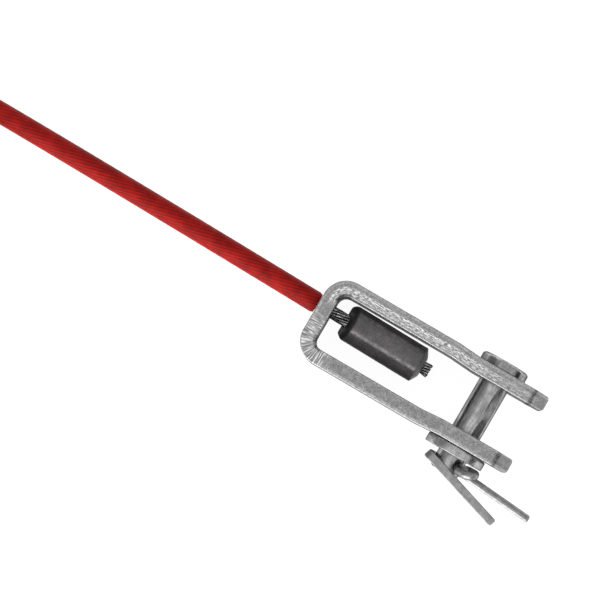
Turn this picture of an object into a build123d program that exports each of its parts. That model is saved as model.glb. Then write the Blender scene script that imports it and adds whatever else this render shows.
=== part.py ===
"""Fork cable end: a coated steel strand held in a bent fork by a swaged stop ferrule.

Millimetres, +Z up. The origin is on the clevis pin's axis, midway between the fork's ears.
+X runs from the fork's base towards its ear tips, +Y towards the pin's head.
The fork lies on the edges of its flat bar, so the resting surface is at z = -bar_width / 2.
"""
from math import cos, pi, radians, sin, tan
import os

from build123d import *

os.makedirs("parts", exist_ok=True)

# ---- driving dimensions -------------------------------------------------------------------
bar_width, bar_thick = 25.0, 5.0  # the flat bar that the fork is bent from
base_x, tip_x = -60.8, 17.2  # outer face of the base, end of the ears
arm_y, ear_y = 14.45, 13.85  # outer faces of the arms and of the ears
joggle_start, joggle_end = -16.0, -8.0  # the arms step inwards between these
bend_radius = 3.0  # inside radius of the two base bends
ear_clip = 5.0  # 45 degree corner clips of the ears
end_round = 0.8

pin_d, pin_hole_d = 10.0, 10.12
head_d, head_thick, head_gap = 16.2, 3.1, 0.1
pin_end_y = -23.1
cross_hole_y, cross_hole_d = -19.7, 3.3
washer_d, washer_thick, washer_gap = 20.4, 3.0, 0.2

split_lean = 38.0  # the cross hole leans this far from +Z towards +X
half_wire_r, leg_gap = 1.4, 0.05
eye_half_width, eye_end = 2.0, 13.4  # of the eye's inside, measured from the pin's axis
eye_turn = 25.0  # the eye is turned this far about the cross hole

strand_y, strand_tilt = 3.0, 1.1  # where the strand leaves the base, and its tilt in degrees
strand_hole_d = 5.0
wire_d, lay_length = 0.82, 37.2
layers = {"inner_wire": (6, 0.86), "outer_wire": (12, 1.72)}  # count, radius of the layer
bare_end_x = -19.9

ferrule_d, ferrule_bore_d = 12.3, 4.5
ferrule_start, ferrule_length = 9.6, 29.0  # measured along the strand from the base's outer face

cable_d, cover_gap = 7.0, 0.5
coil_centre = (-213.0, -37.6)
coil_turn_r = 42.5  # centreline of the outermost turn, which the cable runs into
coil_outer_r, coil_inner_r = 46.4, 24.6
top_outer_r, top_inner_r = 36.8, 24.8
far_turn_r = 33.0  # the coil's last turn leaves on this radius
far_angle = 20.0  # and at this angle around the coil

floor_z = -bar_width / 2
cable_floor_z = floor_z + cable_d / 2
strand_dir = Vector(cos(radians(strand_tilt)), -sin(radians(strand_tilt)), 0)
strand_plane = Plane(origin=(base_x, strand_y, 0), x_dir=(0, 0, 1), z_dir=strand_dir)


def save(part, label):
    """Names a finished piece and writes its file."""
    part.label = label
    export_step(part, f"parts/{label}.step")


def ring_profile(outer_r, inner_r, length, start, plane, bevels):
    """A turned sleeve: start is its first face along the plane's normal."""
    with BuildPart() as sleeve:
        with BuildSketch(plane.offset(start)):
            Circle(outer_r)
            Circle(inner_r, mode=Mode.SUBTRACT)
        extrude(amount=length)
        rims = sleeve.edges().filter_by(GeomType.CIRCLE).sort_by(lambda e: e.radius)[-2:]
        rims = rims.sort_by(lambda e: plane.to_local_coords(e.center()).Z)
        for rim, bevel in zip(rims, bevels):
            chamfer(rim, bevel)
    return sleeve.part


# ---- fork ---------------------------------------------------------------------------------
def fork_side(inset):
    """The fork's outline in plan, set in from its outer faces by inset."""
    arm, ear, base = arm_y - inset, ear_y - inset, base_x + inset
    corner = bend_radius + bar_thick - inset
    upper = [(tip_x, ear), (joggle_end, ear), (joggle_start, arm), (base, arm)]
    lower = [(x, -y) for x, y in reversed(upper)]
    return FilletPolyline(*upper, *lower, radius=[14, 14, corner, corner, 14, 14])


with BuildPart() as fork:
    with BuildSketch():
        with BuildLine():
            outside = fork_side(0)
            inside = fork_side(bar_thick)
            Line(outside @ 0, inside @ 0)
            Line(outside @ 1, inside @ 1)
        make_face()
    extrude(amount=bar_width / 2, both=True)
    tips = fork.edges().filter_by(Axis.Z).group_by(Axis.X)[-1]
    fillet(tips, end_round)
    with BuildSketch(Plane.XZ):
        for side in (1, -1):
            with BuildLine():
                Polyline(
                    (tip_x + 1, side * (bar_width / 2 - ear_clip - 1)),
                    (tip_x + 1, side * (bar_width / 2 + 1)),
                    (tip_x - ear_clip - 1, side * (bar_width / 2 + 1)),
                    close=True,
                )
            make_face()
    extrude(amount=2 * arm_y, both=True, mode=Mode.SUBTRACT)
    with BuildSketch(Plane.XZ):
        Circle(pin_hole_d / 2)
    extrude(amount=2 * arm_y, both=True, mode=Mode.SUBTRACT)
    with BuildSketch(strand_plane):
        Circle(strand_hole_d / 2)
    extrude(amount=2 * bar_thick, both=True, mode=Mode.SUBTRACT)
save(fork.part, "fork")

# ---- clevis pin and washer ----------------------------------------------------------------
head_y = ear_y + head_gap
cross_plane = Plane(
    origin=(0, cross_hole_y, 0),
    x_dir=(0, 1, 0),
    z_dir=(sin(radians(split_lean)), 0, cos(radians(split_lean))),
)
with BuildPart() as clevis_pin:
    with BuildSketch(Plane.XZ.offset(-head_y)):
        Circle(pin_d / 2)
    extrude(amount=head_y - pin_end_y)
    chamfer(clevis_pin.edges().sort_by(Axis.Y)[0], 0.7)
    with BuildSketch(Plane.XZ.offset(-head_y)):
        Circle(head_d / 2)
    extrude(amount=-head_thick)
    chamfer(clevis_pin.edges().sort_by(Axis.Y)[-1], 0.5)
    with BuildSketch(cross_plane):
        Circle(cross_hole_d / 2)
    extrude(amount=pin_d, both=True, mode=Mode.SUBTRACT)
save(clevis_pin.part, "clevis_pin")

washer = ring_profile(
    washer_d / 2, pin_hole_d / 2, washer_thick, ear_y + washer_gap, Plane.XZ, (0.35, 0.35)
)
save(washer, "washer")

# ---- split pin: one half-round wire, from one leg's tip round the eye to the other's ------
lean_x, lean_z = sin(radians(split_lean)), cos(radians(split_lean))


def split_point(along, across, out=0):
    """A point along the split pin's axis towards the eye, across its legs' joint, and out of it."""
    return (along * lean_x - across * lean_z, cross_hole_y + out, along * lean_z + across * lean_x)


def eye_point(along, side):
    """A corner of the eye, on the upper (1) or lower (-1) leg's side."""
    turn = radians(eye_turn)
    half = side * eye_half_width
    return split_point(along, half * cos(turn), -half * sin(turn))


over_z = pin_d / 2 + 0.2 + half_wire_r  # flat face of the leg that passes over the pin
wrap_x, wrap_y = -7.5, -20.3  # flat face of that leg's bend round the pin's side
under_along = -9.9  # corner of the leg that passes under the pin
wrap_along = (wrap_x + leg_gap * lean_z) / lean_x
under_z = split_point(under_along, -leg_gap)[2]
leg_points = [
    (21.5, -29.3, over_z),
    (wrap_x, wrap_y, over_z),
    split_point(wrap_along, leg_gap),
    split_point(5.7, leg_gap),
    eye_point(8.2, 1),
    eye_point(eye_end, 1),
    eye_point(eye_end, -1),
    eye_point(8.2, -1),
    split_point(5.7, -leg_gap),
    split_point(under_along, -leg_gap),
    (31.3, -22.7, under_z),
]
with BuildPart() as split_pin:
    with BuildLine() as wire_line:
        FilletPolyline(*leg_points, radius=[2.0, 2.15, 2.2, 1.5, 1.9, 1.9, 1.5, 2.2, 2.15])
    tip_plane = Plane(origin=wire_line.line @ 0, x_dir=(0, 0, 1), z_dir=wire_line.line % 0)
    with BuildSketch(tip_plane):
        Circle(half_wire_r)
        Rectangle(4 * half_wire_r, 4 * half_wire_r, align=(Align.MIN, Align.CENTER), mode=Mode.SUBTRACT)
    sweep()
save(split_pin.part, "split_pin")

# ---- bare strand: a straight core and two layers of helical wires -------------------------
bare_start = -cover_gap
bare_length = (bare_end_x - base_x) / cos(radians(strand_tilt)) - bare_start


def straight_wire(length):
    """The strand's centre wire, from the origin along +Z."""
    with BuildPart() as wire:
        with BuildSketch():
            Circle(wire_d / 2)
        extrude(amount=length)
    return wire.part


def laid_wire(length, radius, left_hand):
    """One wire of a layer, cut square to the strand at both ends."""
    with BuildPart() as wire:
        with BuildLine() as lay:
            Helix(lay_length, length + 2 * wire_d, radius, (0, 0, -wire_d), lefthand=left_hand)
        with BuildSketch(Plane(origin=lay.line @ 0, z_dir=lay.line % 0)):
            Circle(wire_d / 2)
        sweep(is_frenet=True)
        split(bisect_by=Plane.XY, keep=Keep.TOP)
        split(bisect_by=Plane.XY.offset(length), keep=Keep.BOTTOM)
    return wire.part


def strand(plane, length):
    """Every wire of a strand that runs along the plane's normal, by name."""
    wires = {"core_wire": plane.location * straight_wire(length)}
    for layer, (count, radius) in layers.items():
        first = laid_wire(length, radius, layer == "outer_wire")
        for i in range(count):
            wires[f"{layer}_{i + 1}"] = plane.location * Rotation(0, 0, 360 * i / count) * first
    return wires


for name, wire in strand(strand_plane.offset(bare_start), bare_length).items():
    save(wire, name)

# ---- stop ferrule -------------------------------------------------------------------------
stop_ferrule = ring_profile(
    ferrule_d / 2, ferrule_bore_d / 2, ferrule_length, ferrule_start, strand_plane, (1.1, 1.3)
)
save(stop_ferrule, "stop_ferrule")

# ---- coated cable: straight runs with tangent arcs, then a coil ---------------------------
cable_start = strand_plane.offset(bare_start).origin
coil_x, coil_y = coil_centre
entry_y = coil_y + coil_turn_r
cable_points = [
    cable_start,
    cable_start - 30.7 * strand_dir,
    Vector(-148.0, 4.65, -8.7),
    Vector(-184.0, 4.95, cable_floor_z),
    Vector(coil_x, entry_y, cable_floor_z),
]


def bend_radii(points):
    """Each corner's arc: 0.45 of its shorter run, divided by the tangent of half its turn."""
    radii = []
    for before, corner, after in zip(points, points[1:], points[2:]):
        shorter = min((corner - before).length, (after - corner).length)
        turn = (corner - before).get_angle(after - corner)
        radii.append(0.45 * shorter / tan(radians(turn / 2)))
    return radii


radii = bend_radii(cable_points)
with BuildPart() as cable:
    with BuildLine() as route:
        FilletPolyline(*cable_points, radius=radii)
    with BuildSketch(Plane(origin=route.line @ 0, z_dir=route.line % 0)):
        Circle(cable_d / 2)
    sweep()
save(cable.part, "cable")
section = pi * cable_d**2 / 4
print("cable arcs, mm:", [round(r) for r in radii], "length", round(route.wire().length, 1))
print("cable volume over section times length:", cable.part.volume / section / route.wire().length)

with BuildPart() as cable_coil:
    with BuildSketch(Plane.XY.offset(floor_z)):
        with Locations(coil_centre):
            Circle(coil_outer_r)
            Circle(coil_inner_r, mode=Mode.SUBTRACT)
    extrude(amount=cable_d)
    with BuildSketch(Plane.XY.offset(floor_z + cable_d)):
        with Locations(coil_centre):
            Circle(top_outer_r)
            Circle(top_inner_r, mode=Mode.SUBTRACT)
    extrude(amount=cable_d)
save(cable_coil.part, "cable_coil")

# ---- far end: the same ferrule and bare strand, lying on the coil -------------------------
far_x = coil_x + far_turn_r * cos(radians(far_angle))
far_y = coil_y + far_turn_r * sin(radians(far_angle))
far_z = floor_z + cable_d + ferrule_d / 2
far_heading = Vector(-sin(radians(far_angle)), cos(radians(far_angle)), 0)
far_plane = Plane(origin=(far_x, far_y, far_z), x_dir=(0, 0, 1), z_dir=far_heading)
far_ferrule = ring_profile(
    ferrule_d / 2, ferrule_bore_d / 2, ferrule_length, 0, far_plane, (1.1, 1.3)
)
save(far_ferrule, "far_ferrule")
far_strand = Compound(children=list(strand(far_plane, ferrule_length + 2.6).values()))
save(far_strand, "far_strand")
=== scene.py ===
"""Looks for the fork cable end: a fork, its pin, washer and split pin, and a coated strand.

Everything is in metres, in the part's own frame. Lengths are written in millimetres times MM.
"""
import math
import random

import bmesh
import bpy
from mathutils import Matrix, Vector, noise


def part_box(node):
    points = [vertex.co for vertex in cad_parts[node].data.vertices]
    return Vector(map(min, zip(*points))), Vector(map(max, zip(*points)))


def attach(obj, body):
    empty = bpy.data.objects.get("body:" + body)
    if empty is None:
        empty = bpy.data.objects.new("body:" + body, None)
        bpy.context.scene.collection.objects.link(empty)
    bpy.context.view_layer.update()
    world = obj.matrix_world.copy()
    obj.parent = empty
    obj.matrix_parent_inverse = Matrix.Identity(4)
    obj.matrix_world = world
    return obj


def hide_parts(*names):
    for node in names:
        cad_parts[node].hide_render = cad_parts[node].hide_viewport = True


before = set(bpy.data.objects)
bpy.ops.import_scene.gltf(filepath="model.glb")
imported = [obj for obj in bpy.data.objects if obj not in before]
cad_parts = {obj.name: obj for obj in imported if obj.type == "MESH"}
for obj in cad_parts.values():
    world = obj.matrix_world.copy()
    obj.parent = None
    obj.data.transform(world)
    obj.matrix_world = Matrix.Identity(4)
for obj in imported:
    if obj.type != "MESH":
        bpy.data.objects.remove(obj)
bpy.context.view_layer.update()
MM = 0.001
TURN = 2 * math.pi

# ---- sizes, from the frame where it has them ----------------------------------------------
fork_low, fork_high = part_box("fork")
pin_low, pin_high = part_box("clevis_pin")
washer_low, washer_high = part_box("washer")
floor_z = fork_low.z
bar_thick = 5 * MM
half_thick = bar_thick / 2
arm_y, ear_y = fork_high.y, 13.85 * MM
pin_r, pin_bore_r = 5 * MM, 5.06 * MM
cross_hole_r, cross_hole_y, cross_hole_lean = 1.65 * MM, -19.7 * MM, math.radians(38)
strand_tilt = math.radians(1.1)
strand_dir = Vector((math.cos(strand_tilt), -math.sin(strand_tilt), 0))
strand_exit = Vector((fork_low.x, 3.0 * MM, 0))
strand_hole_r, wire_r = 2.5 * MM, 0.41 * MM
cable_d, cover_gap = 7.0 * MM, 0.5 * MM
cable_start = strand_exit - strand_dir * cover_gap
lay_length, ridge_lay = 50 * MM, 76 * MM
ferrule_r, ferrule_bore_r, ferrule_length, ferrule_start = 6.15 * MM, 2.25 * MM, 29.0 * MM, 9.6 * MM


# ---- mesh helpers -------------------------------------------------------------------------
def fade(value, low, high):
    """0 below low, 1 above high, smooth between."""
    t = min(1.0, max(0.0, (value - low) / (high - low)))
    return t * t * (3 - 2 * t)


def between(value, low, high, soft):
    """1 from low to high, fading to 0 over a soft edge outside them."""
    return fade(value, low - soft, low) * (1 - fade(value, high, high + soft))


def paint(piece, name, values):
    """Stores one value per point on a mesh."""
    layer = piece.data.attributes.new(name, "FLOAT", "POINT")
    layer.data.foreach_set("value", values)


def add_piece(name, verts, faces, body, slot, stands_for, sharp):
    """Makes a mesh piece that rides on a body and replaces CAD nodes.

    Edges that turn by more than sharp degrees stay crisp, and the rest are shaded smooth.
    """
    mesh = bpy.data.meshes.new(name)
    mesh.from_pydata([tuple(v) for v in verts], [], faces)
    mesh.validate()
    editable = bmesh.new()
    editable.from_mesh(mesh)
    bmesh.ops.recalc_face_normals(editable, faces=editable.faces)
    editable.to_mesh(mesh)
    editable.free()
    mesh.shade_smooth()
    mesh.set_sharp_from_angle(angle=math.radians(sharp))
    mesh.materials.append(materials[slot])
    piece = bpy.data.objects.new(name, mesh)
    bpy.context.scene.collection.objects.link(piece)
    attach(piece, body)
    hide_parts(*stands_for)
    return piece


def ring_faces(rings, sides, closed_ring=False):
    """Quads between neighbouring rings of vertices."""
    faces = []
    for i in range(rings if closed_ring else rings - 1):
        a, b = i * sides, (i + 1) % rings * sides
        for j in range(sides):
            k = (j + 1) % sides
            faces.append((a + j, a + k, b + k, b + j))
    return faces


def rounded_corners(points, radii, step):
    """Points about a step apart along straight runs whose corners are arcs of these radii."""
    points = [Vector(p) for p in points]
    path = [points[0]]
    for before, corner, after, radius in zip(points, points[1:], points[2:], radii):
        into, out = (corner - before).normalized(), (after - corner).normalized()
        turn = into.angle(out)
        reach = radius * math.tan(turn / 2)
        first = corner - into * reach
        centre = corner + (out - into).normalized() * radius / math.cos(turn / 2)
        count = max(2, round(radius * turn / step))
        axis = into.cross(out)
        for i in range(count + 1):
            path.append(centre + Matrix.Rotation(turn * i / count, 3, axis) @ (first - centre))
    path.append(points[-1])
    dense = [path[0]]
    for a, b in zip(path, path[1:]):
        count = max(1, round((b - a).length / step))
        dense += [a.lerp(b, i / count) for i in range(1, count + 1)]
    return dense


def carried_frames(points, first_side):
    """A (tangent, side, other side) at each point, carried along without twisting."""
    frames, side = [], Vector(first_side)
    for i, _ in enumerate(points):
        tangent = (points[min(i + 1, len(points) - 1)] - points[max(i - 1, 0)]).normalized()
        side = (side - tangent * side.dot(tangent)).normalized()
        frames.append((tangent, side, tangent.cross(side)))
    return frames


def capped(faces, verts, sides):
    """The faces with a cap on the first ring and one on the last."""
    first, last = range(sides), range(len(verts) - sides, len(verts))
    return faces + [tuple(reversed(first)), tuple(last)]


def swept(points, first_side, section):
    """Vertices and faces of a capped sweep. section(i) gives the ring at point i as (u, v) pairs."""
    verts, sides = [], 0
    for i, (point, (_, u_dir, v_dir)) in enumerate(zip(points, carried_frames(points, first_side))):
        ring = section(i)
        sides = len(ring)
        verts += [point + u_dir * u + v_dir * v for u, v in ring]
    return verts, capped(ring_faces(len(points), sides), verts, sides)


def softened(profile, radius, steps=4):
    """A profile of (r, h) with its corners rounded.

    Each point given is (r, h, scale). Its corner starts radius times scale away, and 0 leaves it sharp.
    """
    out = []
    for i, (r, h, scale) in enumerate(profile):
        here = Vector((r, h))
        before, after = Vector(profile[i - 1][:2]), Vector(profile[(i + 1) % len(profile)][:2])
        if not scale:
            out.append((r, h))
            continue
        a, b = before - here, after - here
        reach = min(radius * scale, a.length * 0.45, b.length * 0.45)
        a, b = here + a.normalized() * reach, here + b.normalized() * reach
        for k in range(steps + 1):
            t = k / steps
            point = a.lerp(here, t).lerp(here.lerp(b, t), t)
            out.append((point.x, point.y))
    return out


def turned(profile, origin, axis, sides, closed, wobble=None):
    """Vertices and faces of a profile of (r, h) turned round an axis, its angles starting nearest to +Z.

    A closed profile makes a ring, and an open one is capped. wobble(angle, h, r) gives how far a
    vertex moves outwards and along the axis.
    """
    axis = Vector(axis).normalized()
    u_dir = Vector((0, 0, 1)) if abs(axis.z) < 0.9 else Vector((1, 0, 0))
    u_dir = (u_dir - axis * u_dir.dot(axis)).normalized()
    v_dir = axis.cross(u_dir)
    verts = []
    for r, h in profile:
        for j in range(sides):
            angle = TURN * j / sides
            out, shift = wobble(angle, h, r) if wobble else (0, 0)
            spoke = u_dir * math.cos(angle) + v_dir * math.sin(angle)
            verts.append(Vector(origin) + axis * (h + shift) + spoke * (r + out))
    faces = ring_faces(len(profile), sides, closed)
    return verts, faces if closed else capped(faces, verts, sides)


def drill(piece, radius, start, end):
    """Cuts a round hole in a piece from one point to another."""
    start, end = Vector(start), Vector(end)
    verts, faces = turned([(radius, 0), (radius, (end - start).length)], start, end - start, 96, False)
    mesh = bpy.data.meshes.new("cutter")
    mesh.from_pydata([tuple(v) for v in verts], [], faces)
    cutter = bpy.data.objects.new("cutter", mesh)
    bpy.context.scene.collection.objects.link(cutter)
    cut = piece.modifiers.new("hole", "BOOLEAN")
    cut.object, cut.operation, cut.solver = cutter, "DIFFERENCE", "EXACT"
    made = bpy.data.meshes.new_from_object(piece.evaluated_get(bpy.context.evaluated_depsgraph_get()))
    piece.modifiers.clear()
    piece.data = made
    bpy.data.objects.remove(cutter)


# ---- materials ----------------------------------------------------------------------------
def link(tree, source, target):
    """Joins one node's output to another's input."""
    tree.links.new(source, target)


def surface(name, metallic, roughness, base, **sockets):
    """A new material: its node tree and its shader. Bare metals reflect less at grazing angles."""
    material = bpy.data.materials.new(name)
    material.use_nodes = True
    shader = material.node_tree.nodes["Principled BSDF"]
    shader.inputs["Metallic"].default_value = metallic
    shader.inputs["Roughness"].default_value = roughness
    shader.inputs["Base Color"].default_value = (*base, 1)
    if metallic == 1.0:
        shader.inputs["Specular Tint"].default_value = (0.2, 0.2, 0.2, 1)
    for socket, value in sockets.items():
        shader.inputs[socket.replace("_", " ")].default_value = value
    return material, material.node_tree, shader


def noise_value(tree, scale, detail, stretch=(1, 1, 1)):
    """Noise over the piece's own coordinates. scale is in features per metre."""
    where = tree.nodes.new("ShaderNodeTexCoord")
    sized = tree.nodes.new("ShaderNodeMapping")
    sized.inputs["Scale"].default_value = stretch
    grain = tree.nodes.new("ShaderNodeTexNoise")
    grain.inputs["Scale"].default_value = scale
    grain.inputs["Detail"].default_value = detail
    grain.inputs["Roughness"].default_value = 0.55
    link(tree, where.outputs["Object"], sized.inputs["Vector"])
    link(tree, sized.outputs["Vector"], grain.inputs["Vector"])
    return grain.outputs["Fac"]


def ramp(tree, value, stops):
    """A colour ramp: stops are (place, colour or grey)."""
    node = tree.nodes.new("ShaderNodeValToRGB")
    while len(node.color_ramp.elements) < len(stops):
        node.color_ramp.elements.new(0.5)
    for element, (place, colour) in zip(node.color_ramp.elements, stops):
        element.position = place
        element.color = (*colour, 1) if isinstance(colour, tuple) else (colour, colour, colour, 1)
    link(tree, value, node.inputs["Fac"])
    return node.outputs["Color"]


def mix_node(tree, kind, a, b):
    """A node that joins two colours."""
    node = tree.nodes.new("ShaderNodeMix")
    node.data_type, node.blend_type = "RGBA", kind
    link(tree, a, node.inputs["A"])
    link(tree, b, node.inputs["B"])
    return node


def blended(tree, factor, a, b):
    """Colour a where factor is 0, and colour b where it is 1."""
    node = mix_node(tree, "MIX", a, b)
    link(tree, factor, node.inputs["Factor"])
    return node.outputs["Result"]


def multiplied(tree, a, b):
    """One colour times another."""
    node = mix_node(tree, "MULTIPLY", a, b)
    node.inputs["Factor"].default_value = 1.0
    return node.outputs["Result"]


def bumped(tree, shader, heights):
    """Stacks bumps on a shader: heights are (value, strength, distance in metres)."""
    normal = None
    for value, strength, distance in heights:
        node = tree.nodes.new("ShaderNodeBump")
        node.inputs["Strength"].default_value = strength
        node.inputs["Distance"].default_value = distance
        link(tree, value, node.inputs["Height"])
        if normal:
            link(tree, normal, node.inputs["Normal"])
        normal = node.outputs["Normal"]
    link(tree, normal, shader.inputs["Normal"])


def painted_value(tree, name):
    """A value painted on the mesh's points."""
    node = tree.nodes.new("ShaderNodeAttribute")
    node.attribute_name = name
    return node.outputs["Fac"]


def bar_noise(tree, along, across, detail):
    """Noise over the flat bar's own length and thickness, in features per metre each way."""
    place = tree.nodes.new("ShaderNodeCombineXYZ")
    for axis, name, scale in (("X", "along", along), ("Y", "across", across)):
        scaled = tree.nodes.new("ShaderNodeMath")
        scaled.operation = "MULTIPLY"
        scaled.inputs[1].default_value = scale
        link(tree, painted_value(tree, name), scaled.inputs[0])
        link(tree, scaled.outputs["Value"], place.inputs[axis])
    grain = tree.nodes.new("ShaderNodeTexNoise")
    grain.inputs["Scale"].default_value = 1.0
    grain.inputs["Detail"].default_value = detail
    link(tree, place.outputs["Vector"], grain.inputs["Vector"])
    return grain.outputs["Fac"]


def plated_steel():
    """Dull zinc plate, mottled, torn and sparkling where the bar was sheared, scored at one bend."""
    material, tree, shader = surface("plated_steel", 1.0, 0.42, (0.36, 0.36, 0.36))
    mottle = ramp(tree, noise_value(tree, 500, 6), [(0.3, 0.28), (0.5, 0.335), (0.7, 0.41)])
    bright = ramp(tree, noise_value(tree, 900, 4), [(0.3, 0.46), (0.7, 0.66)])
    # Lighter where marked: edge wear, and a painted edge highlight along the outer edge of the sheared
    # face.
    mottle = blended(tree, painted_value(tree, "wear_and_highlight"), mottle, bright)
    fine = ramp(tree, noise_value(tree, 3000, 3), [(0.3, 0.58), (0.5, 0.97), (0.68, 1.45)])
    flecks = ramp(tree, bar_noise(tree, 800, 3400, 6), [(0.38, 0.2), (0.47, 0.44), (0.54, 1.0)])
    scores = ramp(tree, bar_noise(tree, 2600, 260, 3), [(0.36, 0.2), (0.5, 0.42), (0.6, 0.9)])
    colour = multiplied(tree, mottle, fine)
    colour = blended(tree, painted_value(tree, "torn"), colour, flecks)
    colour = blended(tree, painted_value(tree, "scored"), colour, scores)
    # Painted shade, broken up by noise: darkens the base colour in the base bends and along the ear clip
    # lines.
    blotchy_shade = ramp(tree, noise_value(tree, 900, 3), [(0.3, 0.45), (0.6, 1.0)])
    blotchy_shade = multiplied(tree, painted_value(tree, "painted_shade"), blotchy_shade)
    dark = ramp(tree, blotchy_shade, [(0.0, 1.0), (1.0, 0.12)])
    link(tree, multiplied(tree, colour, dark), shader.inputs["Base Color"])
    gloss = ramp(tree, noise_value(tree, 650, 4), [(0.3, 0.4), (0.7, 0.56)])
    link(tree, gloss, shader.inputs["Roughness"])
    dimples, grit = noise_value(tree, 1500, 5), noise_value(tree, 5200, 2)
    bumped(tree, shader, [(dimples, 0.3, 0.0002), (grit, 0.2, 0.0001)])
    return material


def turned_steel():
    """Plated turned steel with fine lines round its axis."""
    material, tree, shader = surface("turned_steel", 1.0, 0.3, (0.4, 0.4, 0.395))
    lines = noise_value(tree, 300, 5, (0.25, 22, 0.25))
    stain = noise_value(tree, 330, 5)
    tone = ramp(tree, stain, [(0.3, 0.3), (0.55, 0.42), (0.75, 0.54)])
    streak = ramp(tree, noise_value(tree, 1500, 4, (1, 0.22, 1)), [(0.32, 0.72), (0.5, 1.0), (0.66, 1.3)])
    # Painted shade: darkens the head's rim and the neck under the head.
    dark = ramp(tree, painted_value(tree, "painted_shade"), [(0.0, 1.0), (1.0, 0.2)])
    colour = multiplied(tree, multiplied(tree, tone, streak), dark)
    link(tree, colour, shader.inputs["Base Color"])
    link(tree, ramp(tree, stain, [(0.3, 0.26), (0.7, 0.17)]), shader.inputs["Roughness"])
    bumped(tree, shader, [(lines, 0.25, 0.0001), (noise_value(tree, 2400, 3), 0.08, 0.0001)])
    return material


def stamped_steel():
    """The washer's duller plate."""
    material, tree, shader = surface("stamped_steel", 1.0, 0.34, (0.38, 0.38, 0.375))
    stain = noise_value(tree, 500, 6)
    link(tree, ramp(tree, stain, [(0.32, 0.33), (0.5, 0.49), (0.68, 0.6)]), shader.inputs["Base Color"])
    link(tree, ramp(tree, noise_value(tree, 800, 3), [(0.3, 0.2), (0.7, 0.36)]), shader.inputs["Roughness"])
    bumped(tree, shader, [(noise_value(tree, 1300, 4), 0.3, 0.0002)])
    return material


def drawn_steel():
    """The split pin's drawn wire."""
    material, tree, shader = surface("drawn_steel", 1.0, 0.36, (0.4, 0.4, 0.39))
    stain = noise_value(tree, 700, 5)
    link(tree, ramp(tree, stain, [(0.3, 0.25), (0.55, 0.36), (0.75, 0.47)]), shader.inputs["Base Color"])
    bumped(tree, shader, [(noise_value(tree, 1900, 4, (0.3, 1, 1)), 0.25, 0.0001)])
    return material


def ferrule_steel():
    """Dark oxide on a swaged ferrule, slightly warm, with faint die marks."""
    base = (0.1, 0.096, 0.096)
    material, tree, shader = surface("ferrule_oxide", 0.2, 0.34, base, Specular_IOR_Level=0.6)
    warm = ramp(tree, noise_value(tree, 260, 5), [
        (0.3, (0.082, 0.08, 0.081)), (0.5, (0.112, 0.106, 0.107)), (0.7, (0.15, 0.135, 0.137)),
    ])
    # Lighter on the ridges: wear, and a painted ridge highlight.
    rubbed_and_lit = ramp(tree, noise_value(tree, 420, 4), [
        (0.36, (0.11, 0.103, 0.104)), (0.62, (0.24, 0.215, 0.218)),
    ])
    warm = blended(tree, painted_value(tree, "wear_and_highlight"), warm, rubbed_and_lit)
    # Painted shade on the mouth's shoulder and the end bevel.
    dark = ramp(tree, painted_value(tree, "painted_shade"), [(0.0, 1.0), (1.0, 0.38)])
    warm = multiplied(tree, warm, dark)
    fine = ramp(tree, noise_value(tree, 2600, 3), [(0.3, 0.66), (0.5, 1.0), (0.68, 1.36)])
    link(tree, multiplied(tree, warm, fine), shader.inputs["Base Color"])
    gloss = ramp(tree, noise_value(tree, 500, 4), [(0.3, 0.28), (0.7, 0.42)])
    link(tree, gloss, shader.inputs["Roughness"])
    dents, grit = noise_value(tree, 700, 5), noise_value(tree, 3600, 2)
    bumped(tree, shader, [(dents, 0.35, 0.0002), (grit, 0.15, 0.0001)])
    return material


def wire_steel():
    """Bare strand wire with dark stains."""
    material, tree, shader = surface("wire_steel", 1.0, 0.22, (0.34, 0.34, 0.335))
    stain = noise_value(tree, 900, 4)
    link(tree, ramp(tree, stain, [(0.32, 0.09), (0.5, 0.2), (0.66, 0.5)]), shader.inputs["Base Color"])
    bumped(tree, shader, [(noise_value(tree, 2600, 3, (0.4, 1, 1)), 0.2, 0.0001)])
    return material


def red_plastic():
    """Soft red cover, painted darker in the grooves between its lay ridges: painted shade."""
    base = (0.36, 0.012, 0.01)
    material, tree, shader = surface("red_plastic", 0.0, 0.42, base, Specular_IOR_Level=0.08)
    # Painted shade: darker in the grooves between the ridges, lighter on their crests.
    groove_shade = ramp(tree, painted_value(tree, "lay"), [
        (0.0, (0.12, 0.006, 0.006)), (0.45, (0.3, 0.01, 0.008)), (1.0, (0.48, 0.0135, 0.0095)),
    ])
    cloud = ramp(tree, noise_value(tree, 240, 5), [(0.3, (0.66, 0.66, 0.66)), (0.66, (1.12, 1.1, 1.1))])
    link(tree, multiplied(tree, groove_shade, cloud), shader.inputs["Base Color"])
    gloss = ramp(tree, noise_value(tree, 900, 3), [(0.3, 0.36), (0.7, 0.48)])
    link(tree, gloss, shader.inputs["Roughness"])
    bumped(tree, shader, [(noise_value(tree, 1600, 3), 0.12, 0.0001)])
    return material


materials = {
    "fork_steel": plated_steel(),
    "pin_steel": turned_steel(),
    "washer_steel": stamped_steel(),
    "split_pin_steel": drawn_steel(),
    "ferrule_steel": ferrule_steel(),
    "strand_wire": wire_steel(),
    "red_cover": red_plastic(),
}


# ---- fork: one bent flat bar --------------------------------------------------------------
def bar_section(half_n, half_z, corner, across, along):
    """The bar's section as a ring of (n, z), its four corners cut off by a narrow bevel."""
    top = [((half_n - corner) * (1 - 2 * i / across), half_z) for i in range(across + 1)]
    side = [(-half_n, (half_z - corner) * (1 - 2 * i / along)) for i in range(along + 1)]
    return top + side + [(-n, -z) for n, z in top + side]


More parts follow.
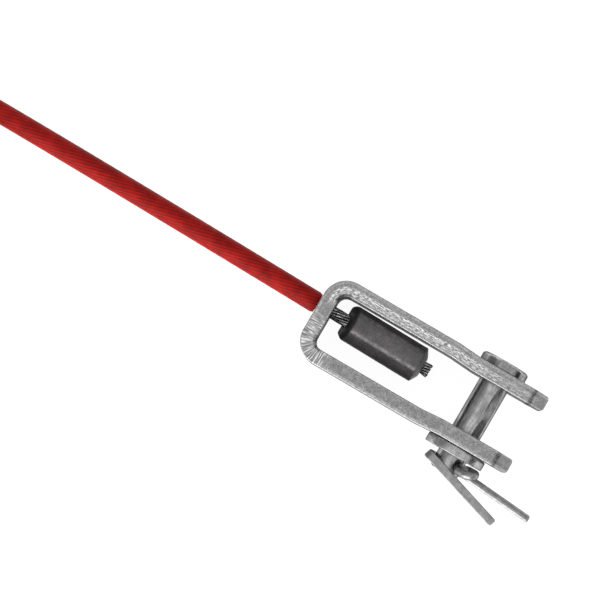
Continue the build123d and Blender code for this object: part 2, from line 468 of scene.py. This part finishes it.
def fork_line(bend_r):
    """Points along the bar's middle line, from the upper ear's tip round the base to the lower one's."""
    joggle_start, joggle_end, joggle_r = -16 * MM, -8 * MM, 14 * MM
    arm, ear, base = arm_y - half_thick, ear_y - half_thick, fork_low.x + half_thick
    upper = [(fork_high.x, ear, 0), (joggle_end, ear, 0), (joggle_start, arm, 0), (base, arm, 0)]
    lower = [(x, -y, 0) for x, y, _ in reversed(upper)]
    radii = [joggle_r, joggle_r, bend_r, bend_r, joggle_r, joggle_r]
    return rounded_corners(upper + lower, radii, 0.4 * MM)


def build_fork():
    """The bar follows its middle line, narrows at the clipped ear corners, and is torn along one arm."""
    half_wide, corner, clip, tip_round, bend_r = fork_high.z, 0.28 * MM, 5 * MM, 0.9 * MM, 5.5 * MM
    line = fork_line(bend_r)
    travelled = [0.0]
    for a, b in zip(line, line[1:]):
        travelled.append(travelled[-1] + (b - a).length)
    length = travelled[-1]
    arm_run = fork_high.x - fork_low.x - half_thick - bend_r
    bend_run = bend_r * math.pi / 2
    base_run = 2 * (arm_y - half_thick - bend_r)
    bends = [arm_run, arm_run + bend_run + base_run]
    verts, ring_size = [], 0
    marks = {name: [] for name in ("torn", "scored", "painted_shade", "wear_and_highlight", "along", "across")}
    for point, s, (tangent, _, _) in zip(line, travelled, carried_frames(line, (0, 0, 1))):
        outward = Vector((tangent.y, -tangent.x, 0))
        from_tip = min(s, length - s)
        ease = max(0.0, tip_round - from_tip)
        inset = tip_round - math.sqrt(tip_round**2 - ease**2)
        wide = half_wide - max(0.0, clip - from_tip) - inset * 0.5
        ring = bar_section(half_thick - inset, wide, corner, 20, 18)
        ring_size = len(ring)
        on_arm = between(s, 4 * MM, bends[0] + bend_run, 3 * MM)
        ripped = 0.4 + 0.6 * fade(s, 10 * MM, 28 * MM)
        low_bend = between(s, bends[1] - 4 * MM, bends[1] + bend_run + 1 * MM, 4 * MM)
        in_bend = max(between(s, start + 1 * MM, start + bend_run - 1 * MM, 2 * MM) for start in bends)
        clip_line = between(from_tip, clip - 0.3 * MM, clip + 0.45 * MM, 0.5 * MM)
        for n, z in ring:
            place = point + outward * n + Vector((0, 0, z))
            edge = fade(abs(z), wide - 0.5 * corner, wide)
            depth = half_thick - n
            band = between(depth, 2.1 * MM, 4.2 * MM, 0.35 * MM)
            wide_tear = between(depth, 2.3 * MM, 3.0 * MM, 0.25 * MM)
            thin_tear = between(depth, 3.9 * MM, 4.2 * MM, 0.2 * MM)
            grain = Vector((s, n * 1.6, z * 0.2))
            rough = noise.noise(grain * 1500) * 0.7 + noise.noise(grain * 650)
            dents = noise.noise(place * 700) * 0.4 + noise.noise(place * 260)
            scores = noise.noise(Vector((s * 2400, n * 200, z * 100)))
            drop = edge * (band * on_arm * 0.2 * MM * abs(rough) + 0.035 * MM * abs(dents))
            drop += edge * low_bend * 0.12 * MM * abs(scores)
            place.z -= math.copysign(drop, z)
            place += outward * (1 - edge) * 0.025 * MM * dents
            verts.append(place)
            crisp = max(wide_tear, 0.8 * thin_tear)
            # Lighter along the outer edge of the sheared face: partly wear, partly painted edge highlight.
            # The inner rims are lighter as wear.
            rubbed_and_lit = between(depth, 0.3 * MM, 0.9 * MM, 0.3 * MM)
            outer_wear_and_highlight = 0.8 * edge * (0.5 + 0.5 * (1 - on_arm)) * rubbed_and_lit
            inner_rim = fade(depth, bar_thick - 0.7 * MM, bar_thick - 0.3 * MM) * (1 - in_bend)
            inner_wear = 0.6 * inner_rim * fade(abs(z), wide - 1.2 * MM, wide)
            # Painted shade: darker near the inner face in the two base bends, and a dark line where each
            # clipped ear corner starts.
            crescent = in_bend * between(depth, 4.3 * MM, 5.2 * MM, 0.4 * MM)
            marks["torn"].append(edge * on_arm * ripped * (0.5 * band + 0.5 * crisp))
            marks["scored"].append(edge * low_bend)
            marks["painted_shade"].append(max(0.9 * crescent, 0.75 * clip_line))
            marks["wear_and_highlight"].append(max(outer_wear_and_highlight, inner_wear))
            marks["along"].append(s)
            marks["across"].append(depth)
    faces = capped(ring_faces(len(line), ring_size), verts, ring_size)
    piece = add_piece("bent_fork", verts, faces, "fork_body", "fork_steel", ["fork"], 35)
    for name, values in marks.items():
        paint(piece, name, values)
    drill(piece, pin_bore_r, (0, -2 * arm_y, 0), (0, 2 * arm_y, 0))
    outside, inside = strand_exit - strand_dir * bar_thick, strand_exit + strand_dir * 2 * bar_thick
    drill(piece, strand_hole_r, outside, inside)


build_fork()


# ---- clevis pin and washer ----------------------------------------------------------------
def build_pin():
    """A turned pin: head with a bevelled rim, chamfered end and a drilled cross hole."""
    head_r, head_top, head_under = pin_high.x, pin_high.y, ear_y + 0.1 * MM
    profile = [
        (0.0, head_top, 0), (head_r - 0.8 * MM, head_top, 1), (head_r, head_top - 0.7 * MM, 1),
        (head_r, head_top - 1.2 * MM, 0), (head_r, head_under + 0.5 * MM, 0),
        (head_r, head_under, 0.7), (pin_r, head_under, 0.4),
        (pin_r, head_under - 1.2 * MM, 0), (pin_r, pin_low.y + 0.8 * MM, 1),
        (pin_r - 0.8 * MM, pin_low.y, 1), (0.0, pin_low.y, 0),
    ]
    least_r = 0.02 * MM
    outline = [(max(r, least_r), h) for r, h in softened(profile, 0.5 * MM)]
    verts, faces = turned(outline, (0, 0, 0), (0, 1, 0), 128, False)
    piece = add_piece("pin", verts, faces, "pin_body", "pin_steel", ["clevis_pin"], 35)
    painted_shade = []
    # Painted shade: a dark band round the head's rim, and darker at the neck just under the head.
    for vert in piece.data.vertices:
        out = math.hypot(vert.co.x, vert.co.z)
        rim = fade(out, head_r - 0.3 * MM, head_r - 0.1 * MM)
        rim *= between(vert.co.y, head_under + 0.4 * MM, head_top - 1.1 * MM, 0.3 * MM)
        neck = fade(vert.co.y, head_under - 1.0 * MM, head_under) * (1 - fade(out, pin_r, pin_r + 1 * MM))
        painted_shade.append(max(0.3 * rim, 0.6 * neck))
    paint(piece, "painted_shade", painted_shade)
    along = Vector((math.sin(cross_hole_lean), 0, math.cos(cross_hole_lean))) * 2 * pin_r
    middle = Vector((0, cross_hole_y, 0))
    drill(piece, cross_hole_r, middle - along, middle + along)


def build_washer():
    """A stamped washer: one face's edge rolled over, the other's a little sharper."""
    outer, low, high = washer_high.x, washer_low.y, washer_high.y
    profile = [(pin_bore_r, low, 1), (outer, low, 0.6), (outer, high, 1.5), (pin_bore_r, high, 1)]
    outline = softened(profile, 0.45 * MM, 5)
    verts, faces = turned(outline, (0, 0, 0), (0, 1, 0), 128, True)
    add_piece("flat_washer", verts, faces, "washer_body", "washer_steel", ["washer"], 35)


build_pin()
build_washer()


# ---- split pin ----------------------------------------------------------------------------
def build_split_pin():
    """One half-round wire: leg over the pin, through its cross hole, round the eye and back under it."""
    half_round_r, gap, step = 1.4 * MM, 0.05 * MM, 0.3 * MM
    hole_end, eye_start, eye_end = 5.7 * MM, 8.2 * MM, 13.4 * MM
    eye_half, eye_turn = 2.0 * MM, math.radians(25)
    lean_x, lean_z = math.sin(cross_hole_lean), math.cos(cross_hole_lean)

    def at(along, across, out=0):
        """A place along the cross hole, beside its middle and out along the pin's axis."""
        return (along * lean_x - across * lean_z, cross_hole_y + out, along * lean_z + across * lean_x)

    def eye(along, side):
        """A place on one side of the eye, which is turned about the cross hole."""
        return at(along, side * eye_half * math.cos(eye_turn), -side * eye_half * math.sin(eye_turn))

    over_z, wrap_x, under = 6.6 * MM, -7.5 * MM, -9.9 * MM
    wrap = (wrap_x + gap * lean_z) / lean_x
    route = [
        (21.5 * MM, -29.3 * MM, over_z), (wrap_x, -20.3 * MM, over_z), at(wrap, gap), at(hole_end, gap),
        eye(eye_start, 1), eye(eye_end, 1), eye(eye_end, -1), eye(eye_start, -1),
        at(hole_end, -gap), at(under, -gap), (31.3 * MM, -22.7 * MM, at(under, -gap)[2]),
    ]
    radii = [r * MM for r in (2.0, 2.15, 2.2, 1.5, 1.9, 1.9, 1.5, 2.2, 2.15)]
    line = rounded_corners(route, radii, step)
    back_sides, corner_sides = 24, 6

    def arc(u, v, radius, start, end, steps):
        """Points along an arc about (u, v)."""
        angles = [start + (end - start) * k / steps for k in range(steps + 1)]
        return [(u + radius * math.cos(a), v + radius * math.sin(a)) for a in angles]

    def section(i):
        """A half circle and its flat, with rounded corners, a little smaller at the wire's tips."""
        from_end = min(i, len(line) - 1 - i) * step
        size = half_round_r * (0.72 + 0.28 * fade(from_end, -0.2 * MM, 0.7 * MM))
        edge = 0.2 * size
        high = math.sqrt((size - edge) ** 2 - edge**2)
        meet = math.atan2(high, -edge)
        ring = arc(0, 0, size, meet, TURN - meet, back_sides)
        ring += arc(-edge, -high, edge, TURN - meet, TURN, corner_sides)[1:]
        ring += [(0.0, high * (2 * k / corner_sides - 1)) for k in range(1, corner_sides)]
        return ring + arc(-edge, high, edge, 0, meet, corner_sides)[:-1]

    verts, faces = swept(line, (0, 0, 1), section)
    add_piece("bent_split_pin", verts, faces, "pin_body", "split_pin_steel", ["split_pin"], 50)


build_split_pin()


# ---- ferrules -----------------------------------------------------------------------------
def build_ferrule(name, origin, axis, stands_for):
    """A sleeve pressed between dies to six soft flats, its mouth cut aslant and its end bevelled."""
    flats, first_ridge, flat_r, blend = 6, math.radians(19), 5.85 * MM, 0.14 * MM
    slant, slant_from, slant_reach = 0.36, 1.5 * MM, 7 * MM
    sides, spacing = 144, 0.8 * MM
    profile = [
        (ferrule_bore_r, 0, 0.4), (ferrule_r - 1.0 * MM, 0, 1.1), (ferrule_r, 1.3 * MM, 1.2),
        (ferrule_r, ferrule_length - 1.6 * MM, 0.4), (ferrule_r - 3.0 * MM, ferrule_length, 0.8),
        (ferrule_bore_r, ferrule_length, 0.4),
    ]
    outline = softened(profile, 0.8 * MM, 6)

    def from_ridge(angle):
        """The angle from the nearest ridge between two flats."""
        pitch = TURN / flats
        return abs((angle - first_ridge + pitch / 2) % pitch - pitch / 2)

    def pressed(angle, h, r):
        """How far the dies move a point outwards, and the slanted mouth moves it along."""
        flat = flat_r / math.cos(math.pi / flats - from_ridge(angle))
        limit = -blend * math.log(math.exp(-flat / blend) + math.exp(-ferrule_r / blend))
        dents = noise.noise(Vector((math.cos(angle) * 2.2, math.sin(angle) * 2.2, h * 300))) * 0.06 * MM
        pressed_here = fade(r, 0.68 * ferrule_r, 0.95 * ferrule_r)
        z = r * math.cos(angle)
        shift = slant * max(0.0, z + slant_from) * (1 - min(1.0, h / slant_reach))
        return pressed_here * (limit - ferrule_r - 0.03 * MM + dents), shift

    dense = []
    for a, b in zip(outline, outline[1:] + outline[:1]):
        count = max(1, round((Vector(b) - Vector(a)).length / spacing))
        dense += [tuple(Vector(a).lerp(Vector(b), k / count)) for k in range(count)]
    verts, faces = turned(dense, origin, axis, sides, True, pressed)
    piece = add_piece(name, verts, faces, "cable_body", "ferrule_steel", stands_for, 40)
    # Painted shade on the dark shoulder at the mouth and on the end bevel; the ridges between the flats get
    # edge wear and a painted highlight.
    shine, end_shade = [], []
    for _, h in dense:
        to_end = ferrule_length - h
        body = fade(h, 1.5 * MM, 2.6 * MM) * fade(to_end, 1.2 * MM, 1.8 * MM)
        mouth = 1 - fade(h, 0.9 * MM, 1.9 * MM)
        bevel = 1 - fade(to_end, 1.4 * MM, 1.7 * MM)
        for j in range(sides):
            ridge = 1 - fade(from_ridge(TURN * j / sides), math.radians(2), math.radians(8))
            shine.append(body * ridge)
            end_shade.append(max(mouth, 0.4 * bevel))
    paint(piece, "wear_and_highlight", shine)
    paint(piece, "painted_shade", end_shade)
    return piece


build_ferrule("swaged_ferrule", strand_exit + strand_dir * ferrule_start, strand_dir, ["stop_ferrule"])


# ---- bare strand --------------------------------------------------------------------------
def strand_wires(origin, axis, length, seed, splay_from):
    """Names and points of nineteen wires: a straight core and two laid layers, cut off a little unevenly.

    Past splay_from the laid wires spread a little.
    """
    layers = [("core_wire", 1, 0, 0), ("inner_wire", 6, 0.86 * MM, 1), ("outer_wire", 12, 1.72 * MM, -1)]
    steps = 90
    pick = random.Random(seed)
    axis = Vector(axis).normalized()
    side = Vector((0, 0, 1)).cross(axis).normalized()
    up = axis.cross(side)
    wires = []
    for layer, count, radius, hand in layers:
        for k in range(count):
            cut = length + pick.uniform(-0.5, 0.25) * MM
            spread = pick.uniform(0.0, 0.22) * MM
            points = []
            for i in range(steps + 1):
                h = cut * i / steps
                angle = TURN * (k / count + hand * h / lay_length)
                out = radius + (spread * fade(h, splay_from, length) if radius else 0)
                points.append(origin + axis * h + (side * math.cos(angle) + up * math.sin(angle)) * out)
            name = layer if count == 1 else f"{layer}_{k + 1}"
            wires.append((name, points))
    return wires


def wire_mesh(points):
    """A round wire along a line of points."""
    sides = 12
    angles = [TURN * j / sides for j in range(sides)]
    ring = [(wire_r * math.cos(a), wire_r * math.sin(a)) for a in angles]
    return swept(points, (0, 0.3, 1), lambda i: ring)


bare_length, splay_start = 41.4 * MM, 38.9 * MM
for name, points in strand_wires(cable_start, strand_dir, bare_length, 4, splay_start):
    verts, faces = wire_mesh(points)
    add_piece("bare_" + name, verts, faces, "cable_body", "strand_wire", [name], 50)


# ---- coated cable -------------------------------------------------------------------------
cable_floor_z = floor_z + cable_d / 2
coil_x, coil_y, coil_turn_r = -213 * MM, -37.6 * MM, 42.5 * MM
far_turn_r, far_angle = 33 * MM, 20
route = [
    cable_start,
    cable_start - strand_dir * 30.7 * MM,
    Vector((-148, 4.65, -8.7)) * MM,
    Vector((-184, 4.95, cable_floor_z / MM)) * MM,
]


def coil_points():
    """Turns lying side by side on the floor, winding in, then back out on top of them."""
    per_turn, pitch = 24, 7.05 * MM
    flat_turns, climb_turns, start = 2, 60 / 360, 90
    inner_r = coil_turn_r - pitch * flat_turns
    total = (far_angle + 3 * 360 - start) / 360
    points = []
    count = round(total * per_turn)
    for i in range(count + 1):
        turns = total * i / count
        angle = math.radians(start) + TURN * turns
        climb = fade(turns, flat_turns, flat_turns + climb_turns)
        out = fade(turns, flat_turns + climb_turns, total)
        radius = coil_turn_r - pitch * min(turns, flat_turns) + (far_turn_r - inner_r) * out
        rise = cable_d * climb + (ferrule_r - cable_d / 2) * fade(turns, total - 0.12, total - 0.01)
        points.append(Vector((
            coil_x + radius * math.cos(angle), coil_y + radius * math.sin(angle), cable_floor_z + rise,
        )))
    return points


def spline_points(controls, resolution):
    """Points read from a smooth NURBS spline with these control points."""
    data = bpy.data.curves.new("route", "CURVE")
    data.dimensions = "3D"
    spline = data.splines.new("NURBS")
    spline.points.add(len(controls) - 1)
    for point, place in zip(spline.points, controls):
        point.co = (*place, 1)
    spline.order_u = 3
    spline.use_endpoint_u = True
    spline.resolution_u = resolution
    holder = bpy.data.objects.new("route", data)
    line = [v.co.copy() for v in bpy.data.meshes.new_from_object(holder).vertices]
    bpy.data.objects.remove(holder)
    return line


def evenly(points, step):
    """The same line with its points about a step apart, and its length."""
    length = sum((b - a).length for a, b in zip(points, points[1:]))
    count = round(length / step)
    out, want, gone = [points[0]], length / count, 0.0
    for a, b in zip(points, points[1:]):
        span = (b - a).length
        while gone + span >= want * len(out) and len(out) < count:
            out.append(a.lerp(b, (want * len(out) - gone) / span))
        gone += span
    return out + [points[-1]], length


line, cable_length = evenly(spline_points(route + coil_points(), 12), 0.9 * MM)


def build_cover():
    """The cover, with faint helical ridges where the strand's wires press through it."""
    ridges, sides, depth = 20, 80, 0.09 * MM
    values = []

    def section(i):
        """The ridged ring at point i, a little smaller at the cover's ends."""
        s = cable_length * i / (len(line) - 1)
        from_end = min(s, cable_length - s)
        size = cable_d / 2 - 0.35 * MM * (1 - fade(from_end, 0, 0.5 * MM))
        ring = []
        for j in range(sides):
            angle = TURN * j / sides
            wave = 0.5 + 0.5 * math.cos(ridges * (angle + TURN * s / ridge_lay))
            crest = 1 - (1 - wave) ** 1.6
            values.append(crest)
            radius = size - depth * (1 - crest)
            ring.append((radius * math.cos(angle), radius * math.sin(angle)))
        return ring

    verts, faces = swept(line, (0, 0, 1), section)
    piece = add_piece("red_cable", verts, faces, "cable_body", "red_cover", ["cable", "cable_coil"], 60)
    # The crest values feed the cover's painted shade in the grooves.
    paint(piece, "lay", values)
    return piece


cover = build_cover()


# ---- far end ------------------------------------------------------------------------------
far_turn = math.radians(far_angle)
far_dir = Vector((-math.sin(far_turn), math.cos(far_turn), 0))
far_start = line[-1]
far_ferrule = build_ferrule("far_swaged_ferrule", far_start, far_dir, ["far_ferrule"])
stub_length = 2.6 * MM
stub_verts, stub_faces = [], []
for _, points in strand_wires(far_start, far_dir, ferrule_length + stub_length, 9, ferrule_length):
    verts, faces = wire_mesh(points[::3])
    stub_faces += [tuple(i + len(stub_verts) for i in face) for face in faces]
    stub_verts += verts
far_stub = add_piece(
    "far_bare_strand", stub_verts, stub_faces, "cable_body", "strand_wire", ["far_strand"], 50,
)


# ---- floor, light and camera --------------------------------------------------------------
# right and up are the picture's own directions, as they lie on the floor.
right = Vector((0.8637, 0.5040, 0)).normalized()
up = Vector((-right.y, right.x, 0))
target = Vector((-66.7, 1.1, 0)) * MM


def build_floor():
    """A large sheet under the object that gives off white light, so that it renders nearly white."""
    half = 3.0
    corners = [(x, y, floor_z) for x, y in ((-half, -half), (half, -half), (half, half), (-half, half))]
    mesh = bpy.data.meshes.new("floor")
    mesh.from_pydata(corners, [], [(0, 1, 2, 3)])
    floor = bpy.data.objects.new("floor", mesh)
    bpy.context.scene.collection.objects.link(floor)
    grey, white = (0.2, 0.2, 0.2), (1.0, 1.0, 1.0, 1.0)
    material, _, _ = surface("floor_paper", 0.0, 0.9, grey, Emission_Color=white, Emission_Strength=0.94)
    mesh.materials.append(material)


def add_light(name, offset, size, power):
    """A soft rectangular light that faces the middle of the view."""
    data = bpy.data.lights.new(name, "AREA")
    data.shape, data.size, data.size_y, data.energy = "RECTANGLE", size[0], size[1], power
    lamp = bpy.data.objects.new(name, data)
    bpy.context.scene.collection.objects.link(lamp)
    lamp.location = target + offset
    lamp.rotation_euler = (target - lamp.location).to_track_quat("-Z", "Y").to_euler()


def build_world(level, patches):
    """An evenly grey studio with soft bright and dark patches.

    Each patch is (direction, full within, gone beyond, added strength), the limits in degrees.
    """
    world = bpy.data.worlds.new("studio")
    bpy.context.scene.world = world
    world.use_nodes = True
    tree = world.node_tree
    where = tree.nodes.new("ShaderNodeTexCoord").outputs["Generated"]
    total = None
    for towards, full, gone, strength in patches:
        facing = tree.nodes.new("ShaderNodeVectorMath")
        facing.operation = "DOT_PRODUCT"
        facing.inputs[1].default_value = Vector(towards).normalized()
        link(tree, where, facing.inputs[0])
        spread = tree.nodes.new("ShaderNodeMapRange")
        spread.interpolation_type = "SMOOTHSTEP"
        spread.inputs["From Min"].default_value = math.cos(math.radians(gone))
        spread.inputs["From Max"].default_value = math.cos(math.radians(full))
        spread.inputs["To Max"].default_value = strength
        link(tree, facing.outputs["Value"], spread.inputs["Value"])
        add = tree.nodes.new("ShaderNodeMath")
        add.operation = "ADD"
        add.inputs[0].default_value = level
        if total:
            link(tree, total, add.inputs[0])
        link(tree, spread.outputs["Result"], add.inputs[1])
        total = add.outputs["Value"]
    shade = tree.nodes["Background"]
    shade.inputs["Color"].default_value = (1, 1, 1, 1)
    link(tree, total, shade.inputs["Strength"])


build_floor()
add_light("key_softbox", Vector((0.0, -0.9, 0.5)), (1.6, 1.0), 13)
add_light("top_softbox", Vector((0.02, 0.1, 1.1)), (0.8, 0.5), 0.5)
build_world(0.57, [
    ((0, 1, 0.1), 6, 26, -0.16),
    ((1, 0, 0.27), 7, 20, -0.57),
    ((1, 0, 1.1), 8, 22, 0.4),
    ((-0.37, 0, 1), 3, 13, 0.35),
    ((-1, 0, 0.3), 10, 40, -0.24),
])

distance, view_width, sensor_width = 1.2, 190.5 * MM, 36
lean_down, lean_right = 0.046, 0.019
camera_data = bpy.data.cameras.new("camera")
camera_data.sensor_width = sensor_width
camera_data.lens = sensor_width * distance / view_width
camera = bpy.data.objects.new("camera", camera_data)
bpy.context.scene.collection.objects.link(camera)
camera.location = target - up * lean_down + right * lean_right + Vector((0, 0, distance))
back = (camera.location - target).normalized()
side = (right - back * right.dot(back)).normalized()
axes = Matrix((side, back.cross(side), back)).transposed().to_4x4()
camera.matrix_world = Matrix.Translation(camera.location) @ axes
bpy.context.scene.camera = camera
bpy.context.scene.view_settings.view_transform = "Standard"
